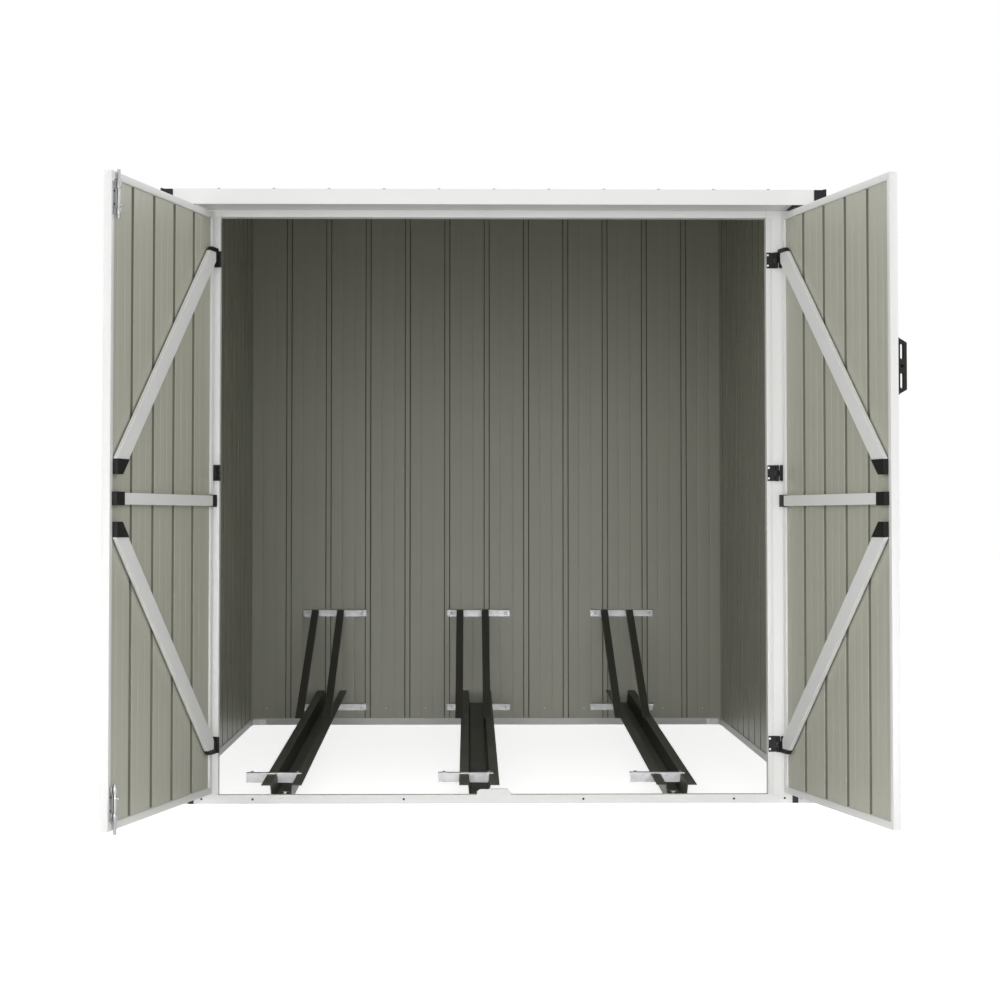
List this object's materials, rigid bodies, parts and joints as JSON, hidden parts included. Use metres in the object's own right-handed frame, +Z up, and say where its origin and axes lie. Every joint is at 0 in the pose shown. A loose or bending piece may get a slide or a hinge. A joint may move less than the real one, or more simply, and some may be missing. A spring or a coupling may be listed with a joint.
{
  "type": "metal bike shelter with pent roof and double doors",
  "caption": "Metal bike shelter with a sloping roof, hinged front doors and wheel rails with struts inside.",
  "frame": {"origin": "on the ground, in the middle of the underside of the front sill", "axes": "+X to the right as seen from the doors, +Y from the doors to the back wall, +Z up"},
  "size_m": [1.6966, 2.6908, 1.7402],
  "materials": {
    "white_paint": "satin",
    "sage_paint": "satin",
    "black_plastic": "matte",
    "zinc": "satin",
    "dark_paint": "satin"
  },
  "bodies": {
    "shed": {"front_sill": "white_paint", "base_rail_left": "white_paint", "base_rail_right": "white_paint", "base_rail_back": "white_paint", "door_stop": "white_paint", "door_jamb_left": "white_paint", "door_jamb_right": "white_paint", "corner_post_front_left": "white_paint", "corner_post_front_right": "white_paint", "corner_posts_back": "white_paint", "door_header": "white_paint", "eaves_board": "white_paint", "top_rails": "white_paint", "roof_trim_front": "white_paint", "roof_trims_side": "white_paint", "roof_trim_back": "white_paint", "wall_left": "sage_paint", "wall_right": "sage_paint", "wall_back": "sage_paint", "roof_sheet": "sage_paint", "base_corner_plugs": "black_plastic", "roof_corner_caps": "black_plastic", "jamb_hinges": "black_plastic", "back_corner_brackets": "zinc", "rail_front_bars": "zinc", "rail_wall_bars": "zinc", "rail_anchors": "zinc", "wheel_rail_left": "dark_paint", "wheel_rail_middle": "dark_paint", "wheel_rail_right": "dark_paint", "wheel_struts": "dark_paint"},
    "left_door": {"left_door_frame": "white_paint", "left_door_panel": "sage_paint", "left_door_braces": "white_paint", "left_door_brackets": "black_plastic", "left_door_hinges": "black_plastic", "left_bolt_housings": "black_plastic"},
    "right_door": {"right_door_frame": "white_paint", "right_door_panel": "sage_paint", "right_door_braces": "white_paint", "right_door_brackets": "black_plastic", "right_door_hinges": "black_plastic", "right_door_handle": "black_plastic"},
    "left_top_bolt": {"left_top_bolt": "zinc"},
    "left_bottom_bolt": {"left_bottom_bolt": "zinc"}
  },
  "joints": [
    {"name": "left_door_hinge", "type": "hinge", "parent": "shed", "child": "left_door", "pos_m": [-0.6575, -0.0155, 0.741], "axis": [0, 0, 1], "range_deg": [-2.6, 102.4]},
    {"name": "right_door_hinge", "type": "hinge", "parent": "shed", "child": "right_door", "pos_m": [0.681, -0.0155, 0.741], "axis": [0, 0, -1], "range_deg": [-3.1, 101.9]},
    {"name": "left_top_bolt_slide", "type": "slide", "parent": "left_door", "child": "left_top_bolt", "axis": [0, 0, 1], "range_m": [0, 0.02]},
    {"name": "left_bottom_bolt_slide", "type": "slide", "parent": "left_door", "child": "left_bottom_bolt", "axis": [0, 0, -1], "range_m": [0, 0.012]}
  ]
}
